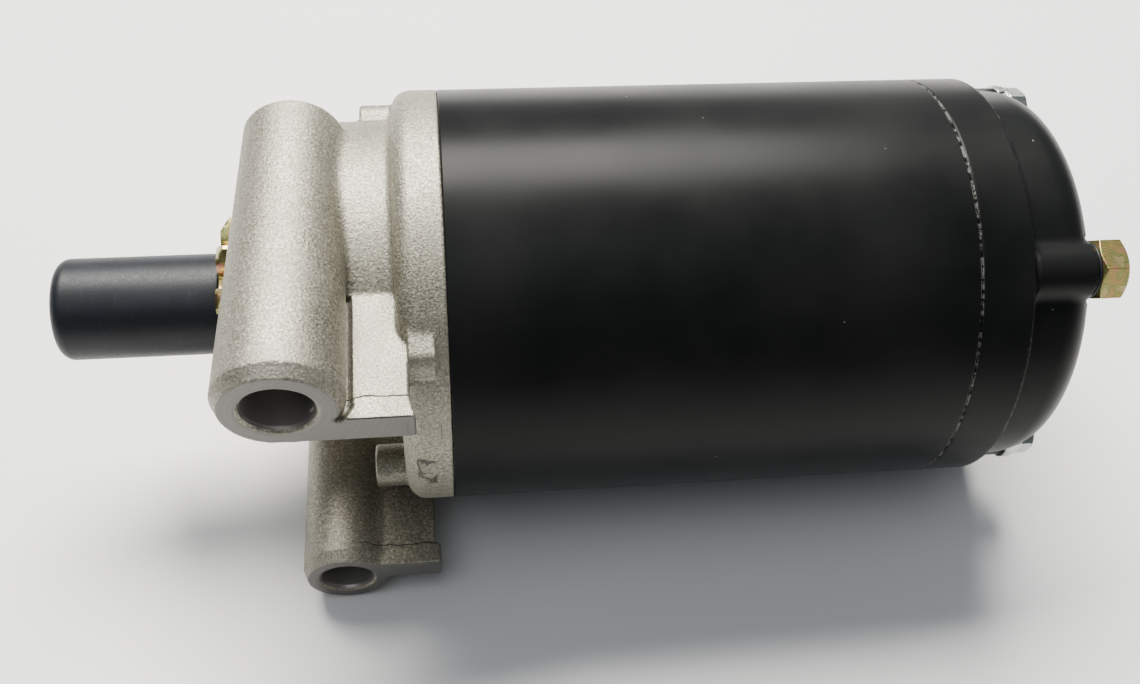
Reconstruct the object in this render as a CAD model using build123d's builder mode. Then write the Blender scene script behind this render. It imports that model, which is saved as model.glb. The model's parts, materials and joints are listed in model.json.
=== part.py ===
from build123d import *
import os
from math import atan2, cos, pi, radians, sin, tan

# A small-engine starter motor: a permanent-magnet motor in a steel can, a cast drive end cap with two
# long mounting bosses, and an inertia drive whose pinion screws out along the shaft.
#
# Frame: millimetres. X is the armature axis, +X towards the terminal end. Z is up. The bosses' seat
# faces look towards -Y. The origin is the middle of the pinion's teeth when the drive is at rest.
# Angles round the motor are measured from -Y towards +Z.

# Casing
can_radius = 38.1
can_wall = 3.2
can_front = 32.0
can_length = 89.0
can_rear = can_front + can_length
can_bore = can_radius - can_wall
spigot_clearance = 0.1
spigot_length = 3.0

# Drive end cap
flange_thickness = 8.3
flange_front = can_front - flange_thickness
flange_edge_radius = 3.5
flange_recess_depth = 4.0
flange_recess_radius = 31.0
spigot_wall = 2.4
skirt_radius = 31.6
skirt_centre = (1.8, -0.2)
skirt_wall = 5.0
skirt_front = 13.2
skirt_start_angle = 24.0
skirt_end_angle = 222.0
hub_radius = 11.5
hub_front = 13.5
hub_rear = 36.0
seat_y = -42.0
boss_far_y = 15.9
upper_boss = dict(x=5.9, z=27.2, near=10.2, far=8.7, far_x=6.7, face=8.9, bore=5.6)
lower_boss = dict(x=11.2, z=-32.9, near=8.2, far=7.5, far_x=11.2, face=7.5, bore=4.85)
boss_lip_length = 2.0
upper_plate_top = 24.3
upper_plate_bottom = 18.3
upper_plate_rear = 25.6
upper_plate_far_y = -13.0
lower_plate_top = -27.6
lower_plate_bottom = -32.8
lower_plate_rear = 28.2
lower_plate_far_y = 12.0
gate_step = 0.9
gate_step_length = 4.0
rim_lug_radius = 5.7
rim_lug_proud = 1.9
rim_lug_angle = 38.5
rim_lug_front = 25.4
rim_lug_rear = 29.8

# Through bolts
bolt_circle = 31.9
bolt_angles = (142.0, 322.0)
bolt_radius = 2.4
bolt_hole_radius = 2.6
bolt_head_across_flats = 8.0
bolt_head_height = 4.3
bolt_flange_radius = 4.7
bolt_flange_height = 1.3
lock_washer_radius = 5.1
lock_washer_height = 1.8
front_bolt_boss_radius = 4.0
front_bolt_boss_front = 17.7

# Rear end cap
rim_length = 9.4
step_radius = 36.9
dome_radius = 35.55
dome_length = 23.0
dome_edge_radius = 7.0
cap_wall = 3.0
rim_bore = 33.9
cap_rear = can_rear + dome_length
bolt_pad_rear = 141.0
bolt_pad_radius = 4.6
spot_face_radius = 5.8
rear_hub_radius = 10.5
rear_hub_front = 133.6

# Terminal
terminal_angle = 52.0
terminal_circle = 33.0
terminal_boss_radius = 5.1
terminal_boss_front = can_rear + rim_length + 0.6
terminal_boss_rear = 141.9
terminal_pocket_front = terminal_boss_front + 0.8
insulator_front = 136.6
insulator_radius = 3.9
insulator_flange_radius = 4.9
insulator_flange_rear = 142.4
stud_radius = 3.0
stud_front = 132.2
stud_rear = 147.0
nut_across_flats = 10.0
nut_height = 4.8
nut_pocket_radius = 6.1

# Armature
running_clearance = 0.05
journal_radius = 6.35
core_front = 46.0
core_rear = 104.0
core_radius = 26.0
slot_count = 15
slot_width = 4.2
slot_depth = 9.0
core_bore = 7.5
end_turn_length = 8.6
commutator_radius = 14.0
commutator_front = 116.0
commutator_rear = 132.0
segment_depth = 3.5
segment_gap = 0.6
rear_journal_radius = 5.0
shaft_rear = 139.5
bushing_wall = 2.35
bushing_front = 14.0
bushing_rear = 30.0

# Field
magnet_inner_radius = 26.8
magnet_span = 66.0
magnet_front = 44.0
magnet_rear = 106.0
magnet_angles = (7.0, 97.0, 187.0, 277.0)
clip_angles = (52.0, 232.0)

# Brush gear
brush_angles = (7.0, 97.0, 187.0, 277.0)
brush_side = 8.0
brush_inner_radius = commutator_radius + running_clearance
brush_outer_radius = 25.0
brush_front = 124.0
brush_slack = 0.15
holder_wall = 0.9
holder_inner_radius = 16.2
holder_outer_radius = 30.5
brush_plate_front = 121.3
brush_plate_rear = brush_front - brush_slack - holder_wall
brush_plate_radius = 33.6
brush_spring_radius = 2.9
brush_spring_wire = 0.6

# Drive, at rest
tooth_count = 10
tooth_module = 2.54
tooth_face = 16.0
tip_radius = 16.15
root_radius = 10.4
pressure_angle = 20.0
profile_shift = 0.35
flank_steps = 5
spline_radius = 6.3
pinion_hub_radius = 7.3
pinion_hub_front = -10.5
collar_radius = 8.2
collar_front = 8.2
collar_rear = 11.5
cover_radius = 9.33
cover_wall = 0.9
cover_tip = -38.0
cover_mouth = -8.4
cover_tip_edge_radius = 2.4
seat_ring_radius = 8.2
seat_ring_front = -12.5
stop_spacer_radius = 6.95
stop_spacer_rear = -24.0
stop_nut_rear = -27.5
stop_nut_front = -33.5
stop_nut_flange_radius = 8.0
stop_nut_across_flats = 12.7
nose_radius = 5.0
nose_front = -34.6
drift_spring_radius = 7.6
drift_spring_wire = 0.7
drift_spring_turns = 4

os.makedirs("parts", exist_ok=True)


def around(radius, angle):
    """The (Y, Z) place at this radius and angle round the motor axis."""
    return (-radius * cos(radians(angle)), radius * sin(radians(angle)))


def radial_plane(angle, x):
    """A plane at station x whose normal points outward from the motor axis at this angle."""
    y, z = around(1.0, angle)
    return Plane(origin=(x, 0, 0), x_dir=(1, 0, 0), z_dir=(0, y, z))


def wedge(start_angle, end_angle, reach):
    """Corner points of a wedge from the motor axis, for cutting arcs out of rings."""
    middle = (start_angle + end_angle) / 2
    return [(0, 0)] + [around(reach, angle) for angle in (start_angle, middle, end_angle)]


def tube(inner, outer, front, rear):
    """A plain tube along X, added to the part being built."""
    with BuildSketch(Plane.YZ.offset(front)) as section:
        Circle(outer)
        Circle(inner, mode=Mode.SUBTRACT)
    extrude(section.sketch, amount=rear - front)


def rod(radius, front, rear, mode=Mode.ADD):
    """A plain cylinder along X on the motor axis."""
    with BuildSketch(Plane.YZ.offset(front)) as section:
        Circle(radius)
    extrude(section.sketch, amount=rear - front, mode=mode)


def rods(radius, places, front, rear, mode=Mode.ADD):
    """Cylinders along X at several (Y, Z) places."""
    with BuildSketch(Plane.YZ.offset(front)) as section:
        with Locations(*places):
            Circle(radius)
    extrude(section.sketch, amount=rear - front, mode=mode)


def hexagon(across_flats, place, turn, front, rear):
    """A hexagonal prism along X at one (Y, Z) place."""
    with BuildSketch(Plane.YZ.offset(front)) as section:
        with Locations(place):
            RegularPolygon(across_flats / 2, 6, major_radius=False, rotation=turn)
    extrude(section.sketch, amount=rear - front)


def save(piece, name):
    """Labels a finished piece and writes its file."""
    piece.part.label = name
    export_step(piece.part, f"parts/{name}.step")


bolt_places = [around(bolt_circle, angle) for angle in bolt_angles]
terminal_place = around(terminal_circle, terminal_angle)


def boss_section(boss, y, radius, x):
    """One round section of a mounting boss, at this Y and with its middle at this X."""
    with BuildSketch(Plane.XZ.offset(-y)) as section:
        with Locations((x, boss["z"])):
            Circle(radius)
    return section.sketch


def boss_body(boss):
    """A mounting boss: a short lip at the seat, then a long cone with draft to its far end."""
    lip_end = seat_y + boss_lip_length
    x = boss["x"]
    loft([boss_section(boss, seat_y, boss["face"], x), boss_section(boss, lip_end, boss["near"], x)])
    loft([boss_section(boss, lip_end, boss["near"], x),
          boss_section(boss, boss_far_y, boss["far"], boss["far_x"])])


def box_between(low, high, mode=Mode.ADD):
    """A box given by its lowest and highest corners."""
    with BuildSketch(Plane.XY.offset(low[2])) as section:
        with Locations(((low[0] + high[0]) / 2, (low[1] + high[1]) / 2)):
            Rectangle(high[0] - low[0], high[1] - low[1])
    extrude(section.sketch, amount=high[2] - low[2], mode=mode)


# Drive end cap: flange, hub, skirt, two bosses with their plates, and the tapped bolt bosses
with BuildPart() as drive_end_cap:
    rod(can_radius, flange_front, can_front)
    fillet(drive_end_cap.edges().group_by(Axis.X)[0], flange_edge_radius)
    tube(can_bore - spigot_clearance - spigot_wall, can_bore - spigot_clearance, can_front - 0.5,
         can_front + spigot_length)
    with BuildSketch(Plane.YZ.offset(skirt_front)):
        with Locations(skirt_centre):
            Circle(skirt_radius)
            Circle(skirt_radius - skirt_wall, mode=Mode.SUBTRACT)
        Polygon(*wedge(skirt_end_angle, skirt_start_angle + 360, 2 * skirt_radius), align=None,
                mode=Mode.SUBTRACT)
    extrude(amount=flange_front + flange_edge_radius - skirt_front)
    boss_body(upper_boss)
    boss_body(lower_boss)
    box_between((upper_boss["x"], seat_y, upper_plate_bottom),
                (upper_plate_rear, upper_plate_far_y, upper_plate_top))
    box_between((lower_boss["x"], seat_y, lower_plate_bottom),
                (lower_plate_rear, lower_plate_far_y, lower_plate_top))
    box_between((lower_plate_rear - 1.0, seat_y, lower_plate_bottom),
                (lower_plate_rear + gate_step, seat_y + gate_step_length, lower_plate_top))
    rods(front_bolt_boss_radius, bolt_places, front_bolt_boss_front, can_front)
    with BuildSketch(Plane.YZ.offset(rim_lug_front)):
        with Locations(around(can_radius + rim_lug_proud - rim_lug_radius, rim_lug_angle)):
            Circle(rim_lug_radius)
    extrude(amount=rim_lug_rear - rim_lug_front)
    # the underside of the upper boss is cut flat, level with its plate, to clear the pinion
    box_between((upper_boss["x"] - 12.0, seat_y - 1.0, upper_plate_bottom - 6.0),
                (upper_boss["x"] + 7.0, boss_far_y + 1.0, upper_plate_bottom), mode=Mode.SUBTRACT)
    # the hub stands in the skirt and reaches back inside the flange's recess
    rod(flange_recess_radius, can_front - flange_recess_depth, can_front + spigot_length + 1.0,
        mode=Mode.SUBTRACT)
    rod(hub_radius, hub_front, hub_rear)
    rod(journal_radius + running_clearance + bushing_wall, hub_front, hub_rear, mode=Mode.SUBTRACT)
    rods(bolt_radius + running_clearance, bolt_places, front_bolt_boss_front,
         can_front + spigot_length + 1.0, mode=Mode.SUBTRACT)
    for boss in (upper_boss, lower_boss):
        with BuildSketch(Plane.XZ.offset(-seat_y)):
            with Locations((boss["x"], boss["z"])):
                Circle(boss["bore"])
        extrude(amount=seat_y - boss_far_y, mode=Mode.SUBTRACT)
save(drive_end_cap, "drive_end_cap")

# Motor can: a plain steel tube
with BuildPart() as motor_can:
    tube(can_bore, can_radius, can_front, can_rear)
save(motor_can, "motor_can")

# Rear end cap: a rim as wide as the can, a step, and a rounded end with two bolt pads and the terminal boss
with BuildPart() as rear_end_cap:
    rod(can_radius, can_rear, can_rear + rim_length)
    rod(step_radius, can_rear + rim_length, can_rear + rim_length + 0.6)
    rod(dome_radius, can_rear + rim_length, cap_rear)
    fillet(rear_end_cap.edges().group_by(Axis.X)[-1], dome_edge_radius)
    rods(bolt_pad_radius, bolt_places, can_rear + rim_length, bolt_pad_rear)
    rods(terminal_boss_radius, [terminal_place], terminal_boss_front, terminal_boss_rear)
    rods(spot_face_radius, bolt_places, bolt_pad_rear, cap_rear + 1.0, mode=Mode.SUBTRACT)
    rods(nut_pocket_radius, [terminal_place], terminal_boss_rear, cap_rear + 1.0, mode=Mode.SUBTRACT)
    rod(rim_bore, can_rear, can_rear + rim_length - 1.0, mode=Mode.SUBTRACT)
    rod(dome_radius - cap_wall, can_rear, cap_rear - dome_edge_radius, mode=Mode.SUBTRACT)
    rod(dome_radius - dome_edge_radius, can_rear, cap_rear - cap_wall, mode=Mode.SUBTRACT)
    rod(rear_hub_radius, rear_hub_front, cap_rear - cap_wall)
    rod(rear_journal_radius + running_clearance + bushing_wall, rear_hub_front, cap_rear - cap_wall,
        mode=Mode.SUBTRACT)
    tube(can_bore - spigot_clearance - spigot_wall, can_bore - spigot_clearance,
         can_rear - spigot_length, can_rear)
    rods(bolt_hole_radius, bolt_places, can_rear - spigot_length, cap_rear, mode=Mode.SUBTRACT)
    rods(insulator_radius, [terminal_place], terminal_pocket_front, cap_rear + 3.0, mode=Mode.SUBTRACT)
save(rear_end_cap, "rear_end_cap")

# Through bolts: long studs with flanged hex heads, screwed into the drive end cap
head_front = bolt_pad_rear + lock_washer_height
with BuildPart() as through_bolts:
    rods(bolt_radius, bolt_places, front_bolt_boss_front + 0.6, head_front)
    rods(bolt_flange_radius, bolt_places, head_front, head_front + bolt_flange_height)
    for place, angle in zip(bolt_places, bolt_angles):
        hexagon(bolt_head_across_flats, place, -angle, head_front + bolt_flange_height,
                head_front + bolt_head_height)
save(through_bolts, "through_bolts")

# Split lock washers under the bolt heads
with BuildPart() as bolt_lock_washers:
    with BuildSketch(Plane.YZ.offset(bolt_pad_rear)):
        with Locations(*bolt_places):
            Circle(lock_washer_radius)
            Circle(bolt_hole_radius, mode=Mode.SUBTRACT)
        with Locations(*[(y, z + lock_washer_radius * 0.75) for y, z in bolt_places]):
            Rectangle(0.5, lock_washer_radius, mode=Mode.SUBTRACT)
    extrude(amount=lock_washer_height)
save(bolt_lock_washers, "bolt_lock_washers")

# Terminal: an insulating bush through the rear cap, a threaded stud and its hex nut
with BuildPart() as terminal_insulator:
    rods(insulator_radius, [terminal_place], insulator_front, terminal_boss_rear)
    rods(insulator_flange_radius, [terminal_place], terminal_boss_rear, insulator_flange_rear)
    rods(stud_radius + running_clearance, [terminal_place], insulator_front - 1.0,
         insulator_flange_rear + 1.0, mode=Mode.SUBTRACT)
save(terminal_insulator, "terminal_insulator")

with BuildPart() as terminal_stud:
    rods(stud_radius, [terminal_place], stud_front, stud_rear)
    chamfer(terminal_stud.edges().group_by(Axis.X)[-1], 0.6)
save(terminal_stud, "terminal_stud")

nut_rear = insulator_flange_rear + nut_height
with BuildPart() as terminal_nut:
    hexagon(nut_across_flats, terminal_place, -terminal_angle, insulator_flange_rear, nut_rear)
    # both ends of the nut are turned down at its corners
    with BuildSketch(Plane.YZ.offset(insulator_flange_rear)):
        with Locations(terminal_place):
            Circle(nut_across_flats * 0.57)
    extrude(amount=nut_height, mode=Mode.INTERSECT)
    rods(stud_radius + running_clearance, [terminal_place], insulator_flange_rear - 1.0, nut_rear + 1.0,
         mode=Mode.SUBTRACT)
save(terminal_nut, "terminal_nut")

# Bus bar: a copper arc behind the brush holders, with a leg that lies along the terminal stud
bar_front = brush_front + brush_side + holder_wall + 0.6
bar_inner, bar_outer, bar_thickness = 26.2, 29.0, 1.0
leg_plane = radial_plane(terminal_angle, (stud_front + bar_front + bar_thickness) / 2)
with BuildPart() as terminal_bus_bar:
    with BuildSketch(Plane.YZ.offset(bar_front)):
        Circle(bar_outer)
        Circle(bar_inner, mode=Mode.SUBTRACT)
        Polygon(*wedge(277.0, terminal_angle + 360 - 5.0, 3 * bar_outer), align=None, mode=Mode.SUBTRACT)
    extrude(amount=bar_thickness)
    with BuildSketch(leg_plane.offset(bar_inner)):
        Rectangle(bar_front + bar_thickness - stud_front, 4.0)
    extrude(amount=terminal_circle - stud_radius - running_clearance - bar_inner)
    rods(stud_radius + running_clearance, [terminal_place], stud_front - 1.0, cap_rear, mode=Mode.SUBTRACT)
save(terminal_bus_bar, "terminal_bus_bar")

# Armature shaft: nose for the stop nut, spline, collar, front journal, core seat, commutator seat, rear journal
with BuildPart() as armature_shaft:
    rod(nose_radius, nose_front, stop_spacer_rear)
    rod(spline_radius, stop_spacer_rear, collar_front)
    rod(collar_radius, collar_front, collar_rear)
    rod(journal_radius, collar_rear, hub_rear + 1.3)
    rod(core_bore, hub_rear + 1.3, commutator_front - 2.0)
    rod(journal_radius, commutator_front - 2.0, commutator_rear + 0.4)
    rod(rear_journal_radius, commutator_rear + 0.4, shaft_rear)
    chamfer(armature_shaft.edges().group_by(Axis.X)[0], 0.8)
    chamfer(armature_shaft.edges().group_by(Axis.X)[-1], 0.6)
save(armature_shaft, "armature_shaft")

# Armature core: a slotted stack of laminations
with BuildPart() as armature_core:
    with BuildSketch(Plane.YZ.offset(core_front)):
        Circle(core_radius)
        with PolarLocations(core_radius - slot_depth / 2, slot_count):
            Rectangle(slot_depth + 1.0, slot_width, mode=Mode.SUBTRACT)
        Circle(core_bore, mode=Mode.SUBTRACT)
    extrude(amount=core_rear - core_front)
save(armature_core, "armature_core")

# Armature windings: bundles in the slots and a rounded ring of end turns at each end of the core
winding_outer = core_radius - 1.0
winding_inner = core_radius - slot_depth + 0.5
end_turn_inner = 11.0
with BuildPart() as armature_windings:
    tube(end_turn_inner, winding_outer, core_front - end_turn_length, core_front)
    tube(end_turn_inner, winding_outer, core_rear, core_rear + end_turn_length)
    with BuildSketch(Plane.YZ.offset(core_front)):
        with PolarLocations((winding_outer + winding_inner) / 2 - 0.5, slot_count):
            Rectangle(winding_outer - winding_inner - 1.0, slot_width - 0.6)
    extrude(amount=core_rear - core_front)
    fillet(armature_windings.edges().group_by(Axis.X)[0], 3.0)
    fillet(armature_windings.edges().group_by(Axis.X)[-1], 3.0)
save(armature_windings, "armature_windings")

# Commutator: a moulded hub and copper segments with gaps between them
with BuildPart() as commutator_hub:
    tube(journal_radius, commutator_radius - segment_depth, commutator_front - 1.0, commutator_rear)
save(commutator_hub, "commutator_hub")

with BuildPart() as commutator_bars:
    with BuildSketch(Plane.YZ.offset(commutator_front)):
        Circle(commutator_radius)
        Circle(commutator_radius - segment_depth, mode=Mode.SUBTRACT)
        with PolarLocations(commutator_radius - segment_depth / 2, slot_count):
            Rectangle(segment_depth + 2.0, segment_gap, mode=Mode.SUBTRACT)
    extrude(amount=commutator_rear - 0.5 - commutator_front)
save(commutator_bars, "commutator_bars")

# Thrust washers at both ends of the armature
with BuildPart() as thrust_washers:
    tube(journal_radius + 0.1, 9.5, hub_rear + 0.15, hub_rear + 1.15)
    tube(rear_journal_radius + 0.1, 9.0, commutator_rear + 0.5, rear_hub_front - 0.15)
save(thrust_washers, "thrust_washers")

# Sintered bearing bushings
with BuildPart() as drive_end_bushing:
    tube(journal_radius + running_clearance, journal_radius + running_clearance + bushing_wall,
         bushing_front, bushing_rear)
save(drive_end_bushing, "drive_end_bushing")

with BuildPart() as rear_end_bushing:
    tube(rear_journal_radius + running_clearance, rear_journal_radius + running_clearance + bushing_wall,
         rear_hub_front + 0.2, cap_rear - cap_wall - 0.2)
save(rear_end_bushing, "rear_end_bushing")

# Field magnets: four arcs inside the can
with BuildPart() as field_magnets:
    with BuildSketch(Plane.YZ.offset(magnet_front)):
        Circle(can_bore - running_clearance)
        Circle(magnet_inner_radius, mode=Mode.SUBTRACT)
        for angle in magnet_angles:
            gap_start = angle + magnet_span / 2
            gap_end = angle + 90.0 - magnet_span / 2
            Polygon(*wedge(gap_start, gap_end, 2 * can_radius), align=None, mode=Mode.SUBTRACT)
    extrude(amount=magnet_rear - magnet_front)
save(field_magnets, "field_magnets")

# Magnet clips: U-shaped spring strips in the two gaps that hold no bolt
clip_width, clip_height, clip_strip = 10.0, 5.0, 0.8
with BuildPart() as magnet_clips:
    for angle in clip_angles:
        plane = radial_plane(angle, (magnet_front + magnet_rear) / 2).offset(can_bore - clip_height - 0.9)
        with BuildSketch(plane):
            Rectangle(magnet_rear - magnet_front - 6.0, clip_width)
        extrude(amount=clip_height)
        with BuildSketch(plane):
            Rectangle(magnet_rear - magnet_front - 5.0, clip_width - 2 * clip_strip)
        extrude(amount=clip_height - clip_strip, mode=Mode.SUBTRACT)
save(magnet_clips, "magnet_clips")

# Brush plate: an insulating disc just inside the rear cap, notched for the bolts and the terminal
with BuildPart() as brush_plate:
    tube(holder_inner_radius, brush_plate_radius, brush_plate_front, brush_plate_rear)
    rods(bolt_hole_radius + 0.6, bolt_places, brush_plate_front - 1.0, brush_plate_rear + 1.0,
         mode=Mode.SUBTRACT)
save(brush_plate, "brush_plate")

brush_middle = brush_front + brush_side / 2
cavity_side = brush_side + 2 * brush_slack
holder_side = cavity_side + 2 * holder_wall

# Brush holders: four open-ended sheet boxes, closed behind the springs
with BuildPart() as brush_holders:
    for angle in brush_angles:
        plane = radial_plane(angle, brush_middle)
        with BuildSketch(plane.offset(holder_inner_radius)):
            Rectangle(holder_side, holder_side)
        extrude(amount=holder_outer_radius - holder_inner_radius)
        with BuildSketch(plane.offset(holder_inner_radius)):
            Rectangle(cavity_side, cavity_side)
        extrude(amount=holder_outer_radius - holder_wall - holder_inner_radius, mode=Mode.SUBTRACT)
save(brush_holders, "brush_holders")

# Brushes: carbon blocks with a hollow face that rides on the commutator
for number, angle in enumerate(brush_angles, start=1):
    with BuildPart() as brush:
        with BuildSketch(radial_plane(angle, brush_middle).offset(brush_inner_radius - 1.5)):
            Rectangle(brush_side, brush_side)
        extrude(amount=brush_outer_radius - brush_inner_radius + 1.5)
        rod(brush_inner_radius, brush_front - 1.0, brush_front + brush_side + 1.0, mode=Mode.SUBTRACT)
    save(brush, f"brush_{number}")

# Brush springs: small coils between each brush and the closed end of its holder
spring_low = brush_outer_radius + brush_spring_wire / 2 + 0.05
spring_high = holder_outer_radius - holder_wall - brush_spring_wire / 2 - 0.05
for number, angle in enumerate(brush_angles, start=1):
    spring_plane = radial_plane(angle, brush_middle).offset(spring_low)
    start_point = spring_plane.from_local_coords((brush_spring_radius, 0, 0))
    with BuildPart() as brush_spring:
        coil = Helix(pitch=(spring_high - spring_low) / 3, height=spring_high - spring_low,
                     radius=brush_spring_radius, center=spring_plane.origin, direction=spring_plane.z_dir)
        with BuildSketch(Plane(origin=coil @ 0, z_dir=coil % 0)):
            Circle(brush_spring_wire / 2)
        sweep(path=coil, is_frenet=True)
    save(brush_spring, f"brush_spring_{number}")


def involute(radius, base_radius):
    """The involute angle, in radians, at this radius."""
    tangent = (radius ** 2 - base_radius ** 2) ** 0.5 / base_radius
    return tangent - atan2(tangent, 1.0)


def tooth_flank():
    """One tooth flank in polar form: (radius, half angle) pairs from the base circle to the tip."""
    pitch_radius = tooth_count * tooth_module / 2
    base_radius = pitch_radius * cos(radians(pressure_angle))
    half_angle_at_pitch = (pi / 2 + 2 * profile_shift * tan(radians(pressure_angle))) / tooth_count
    half_angle_at_base = half_angle_at_pitch + involute(pitch_radius, base_radius)
    radii = [base_radius + (tip_radius - base_radius) * step / flank_steps for step in range(flank_steps + 1)]
    return [(radius, half_angle_at_base - involute(radius, base_radius)) for radius in radii]


# Drive pinion: ten involute teeth with bevelled front ends, and a hub that carries the dust cover
flank = tooth_flank()
with BuildPart() as drive_pinion:
    with BuildSketch(Plane.YZ.offset(-tooth_face / 2)):
        Circle(root_radius)
        for index in range(tooth_count):
            with BuildLine():
                centre = 2 * pi * (index + 0.5) / tooth_count
                rising = [(r * cos(centre - a), r * sin(centre - a)) for r, a in flank]
                falling = [(r * cos(centre + a), r * sin(centre + a)) for r, a in reversed(flank)]
                foot = flank[0][1]
                inner = root_radius * 0.9
                Polyline((inner * cos(centre - foot), inner * sin(centre - foot)), rising[0])
                Spline(*rising)
                Line(rising[-1], falling[0])
                Spline(*falling)
                Polyline(falling[-1], (inner * cos(centre + foot), inner * sin(centre + foot)),
                         (inner * cos(centre - foot), inner * sin(centre - foot)))
            make_face()
    extrude(amount=tooth_face)
    # the front ends of the teeth are bevelled so that they slip into the ring gear
    with BuildSketch(Plane.XZ):
        with BuildLine():
            Polyline((-tooth_face / 2 - 1.0, tip_radius - 3.0), (-tooth_face / 2, tip_radius - 2.0),
                     (-tooth_face / 2 + 1.6, tip_radius + 0.4), (-tooth_face / 2 - 1.0, tip_radius + 0.4),
                     close=True)
        make_face()
    revolve(axis=Axis.X, mode=Mode.SUBTRACT)
    rod(pinion_hub_radius, pinion_hub_front, -tooth_face / 2)
    rod(spline_radius + running_clearance, pinion_hub_front - 1.0, tooth_face, mode=Mode.SUBTRACT)
save(drive_pinion, "drive_pinion")

# Dust cover: a closed-ended sleeve over the shaft's nose, pressed on the pinion's hub
with BuildPart() as dust_cover:
    rod(cover_radius, cover_tip, cover_mouth)
    fillet(dust_cover.edges().group_by(Axis.X)[0], cover_tip_edge_radius)
    rod(cover_radius - cover_wall, cover_tip + cover_tip_edge_radius, cover_mouth, mode=Mode.SUBTRACT)
    rod(cover_radius - cover_tip_edge_radius, cover_tip + cover_wall, cover_tip + cover_tip_edge_radius,
        mode=Mode.SUBTRACT)
save(dust_cover, "dust_cover")

# Dust cover spacer: the ring between the pinion's hub and the anti-drift spring
with BuildPart() as dust_cover_spacer:
    tube(spline_radius + 0.1, seat_ring_radius, seat_ring_front, pinion_hub_front - 0.05)
save(dust_cover_spacer, "dust_cover_spacer")

# Stop gear spacer: the sleeve on the shaft's nose that ends the pinion's travel
with BuildPart() as stop_gear_spacer:
    tube(nose_radius + running_clearance, stop_spacer_radius, stop_nut_rear, stop_spacer_rear)
save(stop_gear_spacer, "stop_gear_spacer")

# Stop nut: a flanged hex nut on the shaft's nose
with BuildPart() as stop_nut:
    rod(stop_nut_flange_radius, stop_nut_rear - 1.0, stop_nut_rear)
    hexagon(stop_nut_across_flats, (0, 0), 0.0, stop_nut_front, stop_nut_rear - 1.0)
    rod(nose_radius + running_clearance, stop_nut_front - 1.0, stop_nut_rear + 1.0, mode=Mode.SUBTRACT)
save(stop_nut, "stop_nut")

# Anti-drift spring: holds the pinion back against the shaft's collar
coil_front = stop_nut_rear + drift_spring_wire / 2 + 0.05
coil_rear = seat_ring_front - drift_spring_wire / 2 - 0.05
with BuildPart() as anti_drift_spring:
    coil = Helix(pitch=(coil_rear - coil_front) / drift_spring_turns, height=coil_rear - coil_front,
                 radius=drift_spring_radius, center=(coil_front, 0, 0), direction=(1, 0, 0))
    with BuildSketch(Plane(origin=coil @ 0, z_dir=coil % 0)):
        Circle(drift_spring_wire / 2)
    sweep(path=coil, is_frenet=True)
save(anti_drift_spring, "anti_drift_spring")
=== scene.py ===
import bpy
import json
import numpy as np
from math import atan2, cos, pi, radians, sin, tan
from mathutils import Matrix, Vector


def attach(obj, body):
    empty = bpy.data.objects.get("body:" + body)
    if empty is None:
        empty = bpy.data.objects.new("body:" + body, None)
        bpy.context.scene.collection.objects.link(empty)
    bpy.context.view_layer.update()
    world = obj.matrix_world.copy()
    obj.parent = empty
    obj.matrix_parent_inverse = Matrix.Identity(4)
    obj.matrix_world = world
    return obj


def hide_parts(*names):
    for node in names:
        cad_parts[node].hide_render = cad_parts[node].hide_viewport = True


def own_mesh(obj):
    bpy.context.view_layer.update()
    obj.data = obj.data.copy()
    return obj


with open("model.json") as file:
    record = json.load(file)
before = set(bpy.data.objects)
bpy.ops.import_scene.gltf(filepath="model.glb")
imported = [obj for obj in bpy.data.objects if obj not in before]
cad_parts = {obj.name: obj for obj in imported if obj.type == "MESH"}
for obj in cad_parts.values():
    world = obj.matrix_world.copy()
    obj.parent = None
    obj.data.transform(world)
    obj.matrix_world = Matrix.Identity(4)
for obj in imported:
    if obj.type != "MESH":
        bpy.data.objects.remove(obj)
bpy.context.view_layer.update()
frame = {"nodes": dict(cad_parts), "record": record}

# A small-engine starter motor. X is the armature axis, +X towards the terminal end, and Z is up. The seat
# faces look towards -Y. Angles round the motor are measured in degrees from -Y towards +Z. Sizes are in
# millimetres, and become metres where a mesh is made. Nodes' own lengths are in metres.
MM = 0.001

# The casing, in millimetres: stations along X, radii round the motor axis
FLANGE_FRONT = 23.7
FLANGE_EDGE = 3.5
CAN_FRONT = 32.0
CAN_REAR = 121.0
CAN_RADIUS = 38.1
CAN_BORE = 34.9
SPIGOT_LENGTH = 3.0
SPIGOT_MIDDLE, SPIGOT_HALF = 33.6, 1.2
RIM_REAR = 130.4
STEP_REAR = 131.0
STEP_RADIUS = 36.9
DOME_REAR = 144.0
DOME_RADIUS = 35.55
DOME_EDGE = 7.0

# The drive end casting: where the bosses' seat faces are, and the flash line behind them
SEAT_Y = -42.0
FLASH_Y = -38.0
SKIRT_FRONT, SKIRT_REAR = 13.2, 27.2
SKIRT_CENTRE = (1.8, -0.2)
SKIRT_MIDDLE, SKIRT_HALF = 29.1, 2.5
SKIRT_START, SKIRT_END = radians(24.0), radians(222.0)
HUB_RADIUS, HUB_BORE = 11.5, 8.75
HUB_FRONT, HUB_REAR = 13.5, 36.0
RECESS_RADIUS, RECESS_FRONT = 31.0, 28.0
UPPER = dict(x=5.9, z=27.2, near=10.2, far_x=6.7, far=8.7, face=8.9, bore=5.6)
LOWER = dict(x=11.2, z=-32.9, near=8.2, far_x=11.2, far=7.5, face=7.5, bore=4.85)
BOSS_FAR_Y = 15.9
UPPER_PLATE = ((UPPER["x"], SEAT_Y - 2.0, 18.3), (25.4, -13.0, 24.35))
LOWER_PLATE = ((LOWER["x"], SEAT_Y - 2.0, -32.8), (28.2, 12.0, -27.6))

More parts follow.
